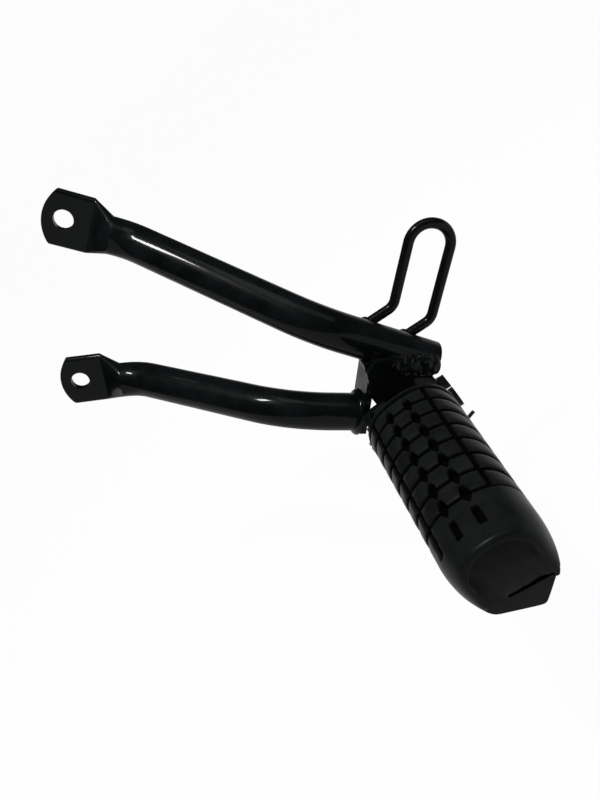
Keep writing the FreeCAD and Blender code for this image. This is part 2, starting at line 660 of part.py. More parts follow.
def seam_weld(upper_bar, bracket, plate):
    """Wide weld seam that fills the corner between the upper stay and the notched edge of the clevis."""
    high = HINGE_Z + WEB_ABOVE_PIN
    front = V(REAR_EAR_OUTER + NOTCH_RUN, 0, high)
    rear = V(REAR_EAR_OUTER, 0, high - NOTCH_DROP)
    along = (rear - front).normalize() * ((rear - front).Length - SEAM_SHORT)
    rise = V(along.z, 0, -along.x).normalize() * SEAM_WIDTH
    outer = V(0, WEB_OUTER, 0)
    crest = V(0, WEB_INNER + SEAM_TOP, 0)
    back = V(0, WEB_INNER - SEAM_BACK, 0)
    bead = prism([front + back, front + outer, front + crest + rise, front + back + rise], along)
    bead = bead.cut([upper_bar, bracket, plate])
    return max(bead.Solids, key=lambda solid: solid.Volume)


def ring_weld(lower_points, lower_bar, plate, bracket):
    """Fillet weld round the lower stay where it meets the gusset plate."""
    end = lower_points[-1]
    along = (end - lower_points[-2]).normalize()
    ring = Part.makeTorus(TUBE_RADIUS, RING_RADIUS, end, along)
    behind = Part.makeBox(4 * TUBE_OD, 4 * TUBE_OD, 4 * TUBE_OD)
    behind.translate(V(-2 * TUBE_OD, -2 * TUBE_OD, 0))
    behind.Placement = FreeCAD.Placement(end, FreeCAD.Rotation(V(0, 0, 1), along)).multiply(behind.Placement)
    ring = ring.cut([lower_bar, behind, plate, bracket])
    return max(ring.Solids, key=lambda solid: solid.Volume)


def gusset_weld(lower_points, upper_bar, plate, bracket):
    """Weld bead across the top of the gusset plate, against the upper stay."""
    end = lower_points[-1]
    along = (end - lower_points[-2]).normalize()
    rise = V(along.z, 0, -along.x)
    touch = first_touch(end, end + rise * (upper_end_point() - end).Length, upper_bar)
    start = V(touch.x, STAY_OFFSET - TUBE_RADIUS, touch.z)
    bead = Part.makeCylinder(GUSSET_BEAD_RADIUS, TUBE_OD, start, Y_AXIS)
    bead = bead.cut([upper_bar, plate, bracket])
    return max(bead.Solids, key=lambda solid: solid.Volume)


def build():
    """All nodes of the footrest by name."""
    upper_points = stay_points((0, 0), UPPER_TAB_SLOPE, UPPER_BEND, UPPER_END)
    lower_points = stay_points(LOWER_HOLE, LOWER_TAB_SLOPE, LOWER_BEND, LOWER_END)
    upper_bar = round_bar(upper_points, (FIRST_BEND_RADIUS, UPPER_BEND_RADIUS), TUBE_RADIUS)
    lower_bar = round_bar(lower_points, (FIRST_BEND_RADIUS, LOWER_BEND_RADIUS), TUBE_RADIUS)
    plate = gusset_plate(lower_points, upper_bar)
    bracket = clevis_bracket()
    loop_line = loop_points()
    loop = guard_loop(loop_line, upper_bar)
    return {
        "upper_stay_tube": stay_tube((0, 0), UPPER_TAB_SLOPE, upper_points, UPPER_BEND_RADIUS),
        "lower_stay_tube": stay_tube(LOWER_HOLE, LOWER_TAB_SLOPE, lower_points, LOWER_BEND_RADIUS),
        "gusset_plate": plate,
        "clevis_bracket": bracket,
        "guard_loop": loop,
        "clevis_seam_weld": seam_weld(upper_bar, bracket, plate),
        "lower_stay_weld": ring_weld(lower_points, lower_bar, plate, bracket),
        "gusset_weld": gusset_weld(lower_points, upper_bar, plate, bracket),
        "loop_front_weld": foot_weld(loop_line[:2], upper_bar, loop),
        "loop_rear_weld": foot_weld(loop_line[:-3:-1], upper_bar, loop),
        "hinge_pin": hinge_pin(),
        "pin_washer": flat_washer(FRONT_EAR_OUTER, PIN_WASHER_THICK),
        "retaining_clip": retaining_clip(),
        "thrust_washer": flat_washer(FRONT_EAR_INNER - THRUST_WASHER_THICK, THRUST_WASHER_THICK),
        "pressure_spring": pressure_spring(),
        "peg_arm": peg_arm(),
        "pivot_bush": pivot_bush(),
        "peg_rubber": peg_rubber(),
    }


os.makedirs("parts", exist_ok=True)
for name, shape in build().items():
    print(name, "valid", shape.isValid(), "solids", len(shape.Solids), "volume %.0f" % shape.Volume)
    shape.exportStep("parts/" + name + ".step")
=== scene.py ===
# %% [markdown]
# # Dressing a passenger footrest
# The footrest arrives as a packed set of solids, in metres, all in one frame.  This lesson puts a
# camera and soft light round it, gives every solid a finish, and swaps in finer surfaces where
# the solids are too plain: the moulded rubber and the lumpy weld.
# The frame is loaded first.

# %% Load the frame
import bpy
import math
import numpy as np
from mathutils import Matrix, Vector


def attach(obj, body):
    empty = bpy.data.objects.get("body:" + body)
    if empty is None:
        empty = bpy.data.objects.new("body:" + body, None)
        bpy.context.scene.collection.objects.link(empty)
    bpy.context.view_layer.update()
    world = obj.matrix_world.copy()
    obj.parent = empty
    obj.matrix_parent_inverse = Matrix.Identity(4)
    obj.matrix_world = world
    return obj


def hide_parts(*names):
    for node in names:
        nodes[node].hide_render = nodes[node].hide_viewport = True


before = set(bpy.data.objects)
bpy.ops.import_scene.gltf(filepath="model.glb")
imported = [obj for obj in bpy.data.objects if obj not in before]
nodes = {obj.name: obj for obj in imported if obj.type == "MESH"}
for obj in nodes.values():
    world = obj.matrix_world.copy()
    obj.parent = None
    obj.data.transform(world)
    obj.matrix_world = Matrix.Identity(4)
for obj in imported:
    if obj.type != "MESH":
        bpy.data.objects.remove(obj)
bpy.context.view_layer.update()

# %% [markdown]
# ## The camera
# The photograph looks down on the left side of the footrest from outside and a little behind, and the part
# lies tilted in it, so the camera is rolled.  It can be turned by hand until the picture fits, but here its
# place and its three axes are written down as numbers: the axes are the columns of its matrix, which leaves
# nothing to judge by eye.

# %% Camera
MM = 0.001
PHOTO_WIDTH, PHOTO_HEIGHT = 600, 800
FOCAL_PIXELS = 653.66
SENSOR = 36.0
NEAR, FAR = 0.01, 100
EYE = Vector((-109.5, 401.4, 28.8)) * MM
RIGHT = Vector((-0.791776, 0.167029, -0.587531))
DOWN = Vector((0.587588, 0.470995, -0.657954))
AHEAD = Vector((0.166827, -0.866178, -0.471066))

scene = bpy.context.scene
camera_data = bpy.data.cameras.new("camera")
camera_data.sensor_width = SENSOR
camera_data.lens = SENSOR * FOCAL_PIXELS / max(PHOTO_WIDTH, PHOTO_HEIGHT)
camera_data.clip_start, camera_data.clip_end = NEAR, FAR
camera = bpy.data.objects.new("camera", camera_data)
axes = Matrix((RIGHT, -DOWN, -AHEAD)).transposed().to_4x4()
camera.matrix_world = Matrix.Translation(EYE) @ axes
scene.collection.objects.link(camera)
scene.camera = camera
print("camera lens %.2f mm" % camera_data.lens)

# %% [markdown]
# ## Small helpers for colours and nodes
# Colours are written as they look on a screen, in hex, and one function turns them into the
# linear numbers that a shader works with.  One more function adds a node, sets its values and
# links it, so that a material reads as a short list of what is mixed with what.

# %% Colour and node helpers
def linear(hex_colour):
    """An sRGB hex colour as linear red, green, blue and alpha."""
    srgb = np.array([int(hex_colour[i:i + 2], 16) for i in (1, 3, 5)]) / 255
    low, high = srgb / 12.92, ((srgb + 0.055) / 1.055) ** 2.4
    return (*np.where(srgb <= 0.04045, low, high), 1.0)


def add(tree, kind, links=None, values=None, stops=(), **settings):
    """Adds a node of a kind, with its settings, fixed values, colour stops and links from other sockets."""
    node = tree.nodes.new(kind)
    for name, value in settings.items():
        setattr(node, name, value)
    for name, value in (values or {}).items():
        node.inputs[name].default_value = value
    for element, (place, level) in zip(node.color_ramp.elements if stops else (), stops):
        element.position = place
        element.color = level if isinstance(level, tuple) else (level, level, level, 1)
    for name, socket in (links or {}).items():
        tree.links.new(socket, node.inputs[name])
    return node


def new_material(name):
    """An empty node material and its tree."""
    made = bpy.data.materials.new(name)
    made.use_nodes = True
    made.node_tree.nodes.clear()
    return made, made.node_tree


print("black paint in linear light", [round(c, 4) for c in linear("#0b0d0e")[:3]])

# %% [markdown]
# ## Floor and background
# The photograph shows the part alone on white.  The floor is white for the rays that the camera sends and
# for mirror rays, so that the gloss shows the white too, and the world is white for the camera alone.
# Other rays meet a plain pale floor and a dim grey room, which keeps the black paint black.  A share of
# the floor stays a lit surface, so the part keeps a faint shadow.

# %% Floor and world
FLOOR_Z = -300 * MM
FLOOR_SIDE = 60.0
SHADOW_SHARE = 0.03
PAPER, BACKDROP, ROOM_GREY = "#e6e6e6", "#fdfdfd", "#3c3e41"

floor_paper, tree = new_material("matt_white_paper")
lit = add(tree, "ShaderNodeBsdfDiffuse", values={"Color": linear(PAPER)})
white = add(tree, "ShaderNodeEmission", values={"Color": (1, 1, 1, 1), "Strength": 1.0})
path = add(tree, "ShaderNodeLightPath").outputs
seen = add(tree, "ShaderNodeMath", {0: path["Is Camera Ray"], 1: path["Is Glossy Ray"]}, operation="MAXIMUM")
seen = add(tree, "ShaderNodeMath", {0: seen.outputs[0], 1: path["Is Transmission Ray"]}, operation="MAXIMUM")
share = add(tree, "ShaderNodeMath", {0: seen.outputs[0]}, {1: 1 - SHADOW_SHARE}, operation="MULTIPLY")
mixed = add(tree, "ShaderNodeMixShader", {"Fac": share.outputs[0], 1: lit.outputs[0], 2: white.outputs[0]})
add(tree, "ShaderNodeOutputMaterial", {"Surface": mixed.outputs[0]})

side = FLOOR_SIDE / 2
floor_mesh = bpy.data.meshes.new("floor")
floor_mesh.from_pydata([(-side, -side, FLOOR_Z), (side, -side, FLOOR_Z), (side, side, FLOOR_Z),
                        (-side, side, FLOOR_Z)], [], [(0, 1, 2, 3)])
floor_mesh.materials.append(floor_paper)
floor = bpy.data.objects.new("floor", floor_mesh)
scene.collection.objects.link(floor)

world = bpy.data.worlds.new("studio")
world.use_nodes = True
tree = world.node_tree
tree.nodes.clear()
room = add(tree, "ShaderNodeBackground", values={"Color": linear(ROOM_GREY), "Strength": 1.0})
bright = add(tree, "ShaderNodeBackground", values={"Color": linear(BACKDROP), "Strength": 1.0})
path = add(tree, "ShaderNodeLightPath")
mixed = add(tree, "ShaderNodeMixShader", {"Fac": path.outputs["Is Camera Ray"], 1: room.outputs[0],
                                          2: bright.outputs[0]})
add(tree, "ShaderNodeOutputWorld", {"Surface": mixed.outputs[0]})
scene.world = world
scene.view_settings.view_transform = "Standard"
print("floor at %.0f mm" % (FLOOR_Z / MM))

# %% [markdown]
# ## The lamps
# The lamps are area lamps, because their reflections are the soft streaks that the paint shows.  A small
# bright one draws the streak and two dim ones the haze.  Two more only light matt surfaces, and stay out
# of the gloss.

# %% Lamps
AIM = Vector((-40, 80, -110)) * MM


def softbox(name, towards, distance, width, length, watts):
    """An area lamp that hangs in a direction from the part, at a distance in metres, and faces it."""
    lamp = bpy.data.lights.new(name, "AREA")
    lamp.shape = "RECTANGLE"
    lamp.size, lamp.size_y = width, length
    lamp.energy = watts
    placed = bpy.data.objects.new(name, lamp)
    away = Vector(towards).normalized()
    placed.location = AIM + away * distance
    placed.rotation_euler = away.to_track_quat("Z", "Y").to_euler()
    scene.collection.objects.link(placed)
    return placed


softbox("window", towards=(-0.02, 0.2, 0.98), distance=0.955, width=0.2, length=0.1, watts=9.5)
softbox("haze_panel", towards=(-0.48, 0.08, 0.87), distance=1.1, width=0.5, length=0.35, watts=1.0)
softbox("rear_box", towards=(-0.75, 0.25, 0.6), distance=1.1, width=0.5, length=0.5, watts=0.7)
ceiling = softbox("ceiling", towards=(-0.1, 0.1, 1), distance=1.1, width=0.8, length=0.8, watts=2.5)
fill = softbox("camera_fill", towards=(-0.1, 0.9, 0.45), distance=1.4, width=0.6, length=0.6, watts=1.1)
for matt_only in (ceiling, fill):
    matt_only.visible_glossy = False
print("lamps", len(bpy.data.lights))

# %% [markdown]
# ## Gloss black paint on steel
# The tubes, plates and loop are steel under a thick gloss black stove enamel.  It could be one flat
# black, but the real coat pools and thins: its gloss is smudged by handling, and its skin has
# a fine orange-peel ripple, about 2.5 mm from crest to crest, that breaks up the lamp streaks.
# Sprayed sheet edges are slightly round, which a Bevel node gives to the light without touching the mesh.

# %% Paint
SMUDGE = 14.0
EDGE_ROUND = 0.7
ENAMEL = {"peel_mm": 2.5, "peel_depth": 0.02, "light": "#0d1011", "dark": "#070808", "smooth": 0.3,
          "rough": 0.46}
ENAMEL_SHINE = {"IOR": 1.5, "Specular IOR Level": 0.03, "Coat Weight": 0.15, "Coat Roughness": 0.07}


def per_metre(size_mm):
    """Noise scale that puts one feature in each given number of millimetres."""
    return 1 / (size_mm * MM)


def paint_layers(tree, where, peel_mm, peel_depth, light, dark, smooth, rough):
    """Colour, roughness and bump of a gloss coat, from smudges and an orange-peel ripple."""
    smudge = add(tree, "ShaderNodeTexNoise", {"Vector": where},
                 {"Scale": per_metre(SMUDGE), "Detail": 4.0, "Roughness": 0.6}).outputs["Fac"]
    peel = add(tree, "ShaderNodeTexNoise", {"Vector": where},
               {"Scale": per_metre(peel_mm), "Detail": 2.0, "Roughness": 0.5}).outputs["Fac"]
    colour = add(tree, "ShaderNodeValToRGB", {"Fac": smudge},
                 stops=((0.35, linear(dark)), (0.7, linear(light))))
    gloss = add(tree, "ShaderNodeValToRGB", {"Fac": smudge}, stops=((0.4, smooth), (0.65, rough)))
    edge = add(tree, "ShaderNodeBevel", values={"Radius": EDGE_ROUND * MM}, samples=4)
    bump = add(tree, "ShaderNodeBump", {"Height": peel, "Normal": edge.outputs[0]},
               {"Strength": 1.0, "Distance": peel_depth * MM})
    return colour.outputs[0], gloss.outputs[0], bump.outputs[0]


# Stove enamel gives a deep black with sharp lamp streaks from its clear skin, which is the coat here, over
# a softer haze that the ripple and finger smudges break up.
gloss_enamel, tree = new_material("gloss_black_stove_enamel")
where = add(tree, "ShaderNodeTexCoord").outputs["Object"]
colour, gloss, skin = paint_layers(tree, where, **ENAMEL)
shader = add(tree, "ShaderNodeBsdfPrincipled", {"Base Color": colour, "Roughness": gloss, "Normal": skin},
             ENAMEL_SHINE)
add(tree, "ShaderNodeOutputMaterial", {"Surface": shader.outputs[0]})
print(gloss_enamel.name, "nodes", len(tree.nodes))

# %% [markdown]
# ## Rust on the rear ear
# Where the peg knocks against the rear ear the paint has gone from its edge, and the steel has rusted brown.
# The clevis gets the same enamel with one thing added: a patch round a point on that edge, about 6 mm
# across, with a border broken up by noise.

# %% Rusty enamel
RUST_POINT = Vector((-114.2, 125.0, -170.0)) * MM
RUST_REACH, RUST_GRAIN = 7.0, 2.5
RUST_FULL, RUST_GONE = 0.86, 0.99
RUST_BROWN = "#3c1d11"

# Chipped enamel gives the same gloss black, and a dull red-brown where the steel shows.
rusty_enamel, tree = new_material("chipped_black_enamel_with_rust")
where = add(tree, "ShaderNodeTexCoord").outputs["Object"]
colour, gloss, skin = paint_layers(tree, where, **ENAMEL)
far = add(tree, "ShaderNodeVectorMath", {0: where}, {1: RUST_POINT}, operation="DISTANCE").outputs["Value"]
far = add(tree, "ShaderNodeMath", {0: far}, {1: RUST_REACH * MM}, operation="DIVIDE").outputs[0]
grain = add(tree, "ShaderNodeTexNoise", {"Vector": where}, {"Scale": per_metre(RUST_GRAIN), "Detail": 4.0})
ragged = add(tree, "ShaderNodeMath", {0: far, 1: grain.outputs["Fac"]}, operation="ADD").outputs[0]
bare = add(tree, "ShaderNodeValToRGB", {"Fac": ragged}, stops=((RUST_FULL, 1.0), (RUST_GONE, 0.0))).outputs[0]
colour = add(tree, "ShaderNodeMix", {"Factor": bare, 6: colour}, {7: linear(RUST_BROWN)}, data_type="RGBA")
gloss = add(tree, "ShaderNodeMath", {0: gloss, 1: bare}, operation="MAXIMUM")
shader = add(tree, "ShaderNodeBsdfPrincipled",
             {"Base Color": colour.outputs[2], "Roughness": gloss.outputs[0], "Normal": skin}, ENAMEL_SHINE)
add(tree, "ShaderNodeOutputMaterial", {"Surface": shader.outputs[0]})
print(rusty_enamel.name, "nodes", len(tree.nodes))

# %% [markdown]
# ## Painted weld metal
# The welds lie under the same coat, which makes every drop and pool of the bead glint.  Its ripple is about
# as fine as the orange peel, 2.2 mm, but more than twice as deep, since the coat follows the rough metal.

# %% Weld paint
WELD_COAT = {"peel_mm": 2.2, "peel_depth": 0.05, "light": "#0b0d0e", "dark": "#050606", "smooth": 0.2,
             "rough": 0.34}
WELD_SHINE = {"IOR": 1.5, "Specular IOR Level": 0.03, "Coat Weight": 0.18, "Coat Roughness": 0.05}

# Enamel over a weld gives a rippled black with small sharp glints, since each drop is its own little mirror.
weld_enamel, tree = new_material("gloss_enamel_over_weld")
where = add(tree, "ShaderNodeTexCoord").outputs["Object"]
colour, gloss, skin = paint_layers(tree, where, **WELD_COAT)
shader = add(tree, "ShaderNodeBsdfPrincipled", {"Base Color": colour, "Roughness": gloss, "Normal": skin},
             WELD_SHINE)
add(tree, "ShaderNodeOutputMaterial", {"Surface": shader.outputs[0]})
print(weld_enamel.name, "nodes", len(tree.nodes))

# %% [markdown]
# ## Zinc, spring wire, forged steel and bronze
# The pin, its washers and its clip are zinc plated, and the film has dulled and begun to rust.  The spring
# is blackened wire.  The arm is forged, so its skin is pitted, and it was painted satin black.  The bush is
# sintered bronze and hardly shows.  All share one recipe: a mottled colour, mottled roughness, fine bump.

# %% Metals
def mottled(name, size_mm, depth_mm, pale, dark, smooth, rough, values):
    """A material whose colour and roughness follow one noise, with a bump of the same grain."""
    made, tree = new_material(name)
    where = add(tree, "ShaderNodeTexCoord").outputs["Object"]
    mottle = add(tree, "ShaderNodeTexNoise", {"Vector": where},
                 {"Scale": per_metre(size_mm), "Detail": 5.0, "Roughness": 0.65}).outputs["Fac"]
    colour = add(tree, "ShaderNodeValToRGB", {"Fac": mottle},
                 stops=((0.4, linear(pale)), (0.66, linear(dark))))
    gloss = add(tree, "ShaderNodeValToRGB", {"Fac": mottle}, stops=((0.35, smooth), (0.65, rough)))
    bump = add(tree, "ShaderNodeBump", {"Height": mottle}, {"Strength": 1.0, "Distance": depth_mm * MM})
    shader = add(tree, "ShaderNodeBsdfPrincipled",
                 {"Base Color": colour.outputs[0], "Roughness": gloss.outputs[0], "Normal": bump.outputs[0]},
                 values)
    add(tree, "ShaderNodeOutputMaterial", {"Surface": shader.outputs[0]})
    return made


# Dulled zinc gives a grey metal sheen with brown patches where rust has come through.
dull_zinc = mottled("dull_zinc_plate_with_rust", size_mm=3.0, depth_mm=0.04, pale="#6f7377", dark="#5a3f2b",
                    smooth=0.35, rough=0.7, values={"Metallic": 0.7})
# Phosphated wire gives a flat black that only shines along its crest.
black_wire = mottled("black_phosphated_spring_wire", size_mm=2.0, depth_mm=0.02, pale="#0d0e0e",
                     dark="#060606", smooth=0.4, rough=0.6, values={"IOR": 1.5, "Specular IOR Level": 0.2})
# Satin paint on a forging gives a broad soft sheen over small pits.
satin_forging = mottled("satin_black_forged_steel", size_mm=4.0, depth_mm=0.12, pale="#0c0d0e",
                        dark="#060707", smooth=0.35, rough=0.55,
                        values={"IOR": 1.5, "Specular IOR Level": 0.1})
# Sintered bronze gives a warm, open-grained brown.
oil_bronze = mottled("oil_filled_sintered_bronze", size_mm=0.8, depth_mm=0.03, pale="#92703f",
                     dark="#6e5433", smooth=0.35, rough=0.5, values={"Metallic": 1.0})
print(dull_zinc.name, black_wire.name, satin_forging.name, oil_bronze.name)

# %% [markdown]
# ## Moulded rubber
# The rubber is black, filled with carbon, and came from a blasted mould, so it is dull
# with a faint grey bloom.  Its grain is finer than the picture can show, so it is drawn at 0.9 mm.
# Wherever the surface sinks, in the grooves, pits, slots and notch, it is painted darker as painted shade,
# near black at the bottom, and the surface itself says where they are, in an attribute named groove.

# %% Rubber
GRAIN, GRAIN_DEPTH = 0.9, 0.04
BLOOM, BLOOM_DARK, BLOOM_LIGHT = 9.0, "#0f1010", "#171919"
# Near black, painted into the grooves and the notch as painted shade.
GROOVE_SHADE = "#010101"
FACE_ROUGH, GROOVE_ROUGH = 0.34, 0.95

# Moulded rubber gives a dull black that turns soft grey where the light grazes it.
matt_rubber, tree = new_material("moulded_black_rubber")
where = add(tree, "ShaderNodeTexCoord").outputs["Object"]
bloom = add(tree, "ShaderNodeTexNoise", {"Vector": where},
            {"Scale": per_metre(BLOOM), "Detail": 5.0, "Roughness": 0.6}).outputs["Fac"]
grain = add(tree, "ShaderNodeTexNoise", {"Vector": where},
            {"Scale": per_metre(GRAIN), "Detail": 2.0, "Roughness": 0.6}).outputs["Fac"]
face = add(tree, "ShaderNodeValToRGB", {"Fac": bloom},
           stops=((0.35, linear(BLOOM_DARK)), (0.7, linear(BLOOM_LIGHT))))
groove = add(tree, "ShaderNodeAttribute", attribute_name="groove").outputs["Fac"]
# Painted shade: the colour turns near black as the groove attribute rises, in the grooves, pits, slots and
# notch.
groove_shade = add(tree, "ShaderNodeValToRGB", {"Fac": groove}, stops=((0.12, 0.0), (0.5, 1.0))).outputs[0]
colour = add(tree, "ShaderNodeMix", {"Factor": groove_shade, 6: face.outputs[0]}, {7: linear(GROOVE_SHADE)}, data_type="RGBA")
gloss = add(tree, "ShaderNodeValToRGB", {"Fac": groove}, stops=((0.0, FACE_ROUGH), (0.4, GROOVE_ROUGH)))
bump = add(tree, "ShaderNodeBump", {"Height": grain}, {"Strength": 1.0, "Distance": GRAIN_DEPTH * MM})
shader = add(tree, "ShaderNodeBsdfPrincipled",
             {"Base Color": colour.outputs[2], "Roughness": gloss.outputs[0], "Normal": bump.outputs[0]},
             {"IOR": 1.5, "Specular IOR Level": 0.045})
add(tree, "ShaderNodeOutputMaterial", {"Surface": shader.outputs[0]})
print(matt_rubber.name, "nodes", len(tree.nodes))

# %% [markdown]
# ## Smooth light on the solids
# The solids are triangles, and a gloss coat would show every facet of a tube.  A smooth shading
# flag on the mesh would change it, so a Geometry Nodes modifier does it on the way to the picture: it merges
# the loose triangles and shades every edge smooth, apart from those that turn by more than 30 degrees.

# %% Smoothing modifier
SHARP_ANGLE = math.radians(30)
MERGE = 0.01


def smoothing_group():
    """A node group that merges points within a hundredth of a millimetre and smooths all but sharp edges."""
    group = bpy.data.node_groups.new("smooth_by_angle", "GeometryNodeTree")
    group.interface.new_socket("Geometry", in_out="INPUT", socket_type="NodeSocketGeometry")
    group.interface.new_socket("Geometry", in_out="OUTPUT", socket_type="NodeSocketGeometry")
    start = add(group, "NodeGroupInput")
    merged = add(group, "GeometryNodeMergeByDistance", {"Geometry": start.outputs[0]},
                 {"Distance": MERGE * MM})
    angle = add(group, "GeometryNodeInputMeshEdgeAngle")
    gentle = add(group, "FunctionNodeCompare", {0: angle.outputs["Unsigned Angle"]}, {1: SHARP_ANGLE},
                 operation="LESS_THAN")
    faces = add(group, "GeometryNodeSetShadeSmooth", {"Geometry": merged.outputs[0]}, domain="FACE")
    edges = add(group, "GeometryNodeSetShadeSmooth", {"Geometry": faces.outputs[0],
                                                      "Shade Smooth": gentle.outputs[0]}, domain="EDGE")
    add(group, "NodeGroupOutput", {0: edges.outputs[0]})
    return group


smooth_group = smoothing_group()
for solid in nodes.values():
    solid.modifiers.new("smooth_by_angle", "NODES").node_group = smooth_group
print("smoothed", len(nodes), "solids")

# %% [markdown]
# ## A surface from a grid
# Every new piece is a grid of points: rows along a path, columns round a closed outline.
# Neighbouring points make four-sided faces, the last column meets the first, and each end closes in
# one point.  The index arrays are worked out whole, which is much faster than adding faces one at a time.
# The faces are shaded smooth, and edges that turn by more than 40 degrees stay crisp.

# %% Grid to mesh
CREASE_ANGLE = math.radians(40)


def closed_surface(name, grid, start_point, end_point, material):
    """A closed mesh from rows of points round an outline, in millimetres, with a fan to a point at each end.

    Face (r, c) joins points (r, c), (r, c + 1), (r + 1, c + 1) and (r + 1, c), columns counted round.
    """
    rows, columns = grid.shape[:2]
    points = np.concatenate([grid.reshape(-1, 3), [start_point], [end_point]]) * MM
    index = np.arange(rows * columns).reshape(rows, columns)
    following = np.roll(index, -1, axis=1)
    quads = np.stack([index[:-1], following[:-1], following[1:], index[1:]], axis=-1).reshape(-1, 4)
    first, last = rows * columns, rows * columns + 1
    start_fan = np.stack([following[0], index[0], np.full(columns, first)], axis=-1)
    end_fan = np.stack([index[-1], following[-1], np.full(columns, last)], axis=-1)
    mesh = bpy.data.meshes.new(name)
    mesh.from_pydata(points.tolist(), [], quads.tolist() + start_fan.tolist() + end_fan.tolist())
    mesh.polygons.foreach_set("use_smooth", np.ones(len(mesh.polygons), bool))
    mesh.set_sharp_from_angle(angle=CREASE_ANGLE)
    mesh.materials.append(material)
    mesh.update()
    made = bpy.data.objects.new(name, mesh)
    scene.collection.objects.link(made)
    volume = signed_volume(points, quads, start_fan, end_fan)
    print(name, "points", len(points), "faces", len(mesh.polygons), "volume %.0f mm3" % (volume / MM ** 3))
    return made


def signed_volume(points, quads, *fans):
    """Volume inside the faces: a sixth of each triangle's triple product, negative if they are inside out."""
    triangles = np.concatenate([quads[:, [0, 1, 2]], quads[:, [0, 2, 3]], *fans])
    a, b, c = (points[triangles[:, i]] for i in range(3))
    return np.einsum("ij,ij->i", a, np.cross(b, c)).sum() / 6


print("grid helper ready")

# %% [markdown]
# ## The rubber's form
# On the real part the rubber is a moulded sleeve, close to a rounded square, a little narrower towards
# the tip.  Its outline is a superellipse: a circle's formula with a power above two, which fills
# the corners.  The sides round in over the last 18 mm, while the top keeps its height almost to the end,
# which gives the ridge seen in the photograph.

# %% Rubber outline
RUBBER_X, RUBBER_Z = -93.0, -168.5
RUBBER_Y, RUBBER_END = 134.0, 240.0
RUBBER_WIDTH, RUBBER_HEIGHT = 47.6, 45.0
SQUARENESS = 2.4
TAPER = 5.0
TIP_ROUND, TIP_FALL = 18.0, 14.0
EDGE_FALL = 2.4


def rubber_halves(y):
    """Half width and half height of the outline at a place along the rubber.

    Both taper evenly to the start of the tip.  Then the width falls as a quarter of an ellipse over the
    tip's length, and the height as a quarter circle over its last few millimetres.
    """
    run = np.clip((y - RUBBER_Y) / (RUBBER_END - TIP_ROUND - RUBBER_Y), 0, 1)
    tip = np.clip((y - RUBBER_END + TIP_ROUND) / TIP_ROUND, 0, 1)
    edge = np.clip((y - RUBBER_END + EDGE_FALL) / EDGE_FALL, 0, 1)
    width = RUBBER_WIDTH - TAPER * run - TIP_FALL * (1 - np.sqrt(1 - tip ** 2))
    height = RUBBER_HEIGHT - TAPER * RUBBER_HEIGHT / RUBBER_WIDTH * run
    height = height - 2 * EDGE_FALL * (1 - np.sqrt(1 - edge ** 2))
    return width / 2, height / 2


def signed_power(value, power):
    """The size of a value raised to a power, with its sign kept."""
    return np.sign(value) * np.abs(value) ** power


print("rubber half sizes at the ends", rubber_halves(np.array([RUBBER_Y, RUBBER_END - TIP_ROUND])))

# %% [markdown]
# ## The tread
# Seven rows of blocks stand on the top, in three columns, with a long groove at each shoulder.
# A row groove runs right across after each row, and a long pit parts the columns where they meet it, so the
# blocks touch only in the middle of their sides.  Each of these is a distance to a line or an outline, passed
# through a smooth step, and the deepest says how far the surface sinks.  Round the shoulders the rows go on
# as leaves that swell in the middle, like the strands of a rope.

# %% Tread rows
TREAD_X = -91.7
RIM_LINE, FIRST_LINE, ROWS, ROW_PITCH = 136.4, 146.5, 7, 11.28
LAST_LINE = FIRST_LINE + (ROWS - 1) * ROW_PITCH


def smooth_step(value, low, high):
    """Nought below low, one above high, with an even S between them."""
    share = np.clip((value - low) / (high - low), 0, 1)
    return share * share * (3 - 2 * share)


def to_row_line(y):
    """Offset from the nearest row groove along the rubber; the first groove lies at the rim."""
    row = np.clip(np.round((y - FIRST_LINE) / ROW_PITCH), 0, ROWS - 1)
    offset = y - FIRST_LINE - row * ROW_PITCH
    rim = y - RIM_LINE
    return np.where(np.abs(rim) < np.abs(offset), rim, offset)


print("tread from %.1f to %.1f mm" % (RIM_LINE, LAST_LINE))

# %% Tread depth
TREAD_DEPTH = 2.8
ROW_MARGIN, RIM_FADE, LAST_FADE = 1.2, 0.4, 0.6
CROSS_GROOVE, CROSS_EDGE = 1.9, 0.35
SHOULDER_HALF, SHOULDER_GROOVE, SHOULDER_EDGE = 15.1, 2.0, 0.4
SHOULDER_START, SHOULDER_FADE, FRONT_GROOVE_END = 0.6, 3.0, 229.0
PIT_ACROSS, PIT_WIDTH, PIT_LENGTH, PIT_BACK, PIT_DEPTH = 5.2, 4.2, 9.6, 1.0, 4.4
PIT_POWER, PIT_EDGE = 1.5, (-0.1, 0.25)
CREASE, CREASE_DEPTH, CREASE_EDGE = 0.9, 0.6, (-0.4, 0.3)
BLOCK_CROWN, LEAF_SWELL, CROWN_POWER = 0.7, 1.2, 4
FRONT_SLANT, REAR_SLANT = -3.0, 2.0
LEAF_FOOT, FOOT_EASE, UNDERSIDE = -176.0, 0.8, -177.0


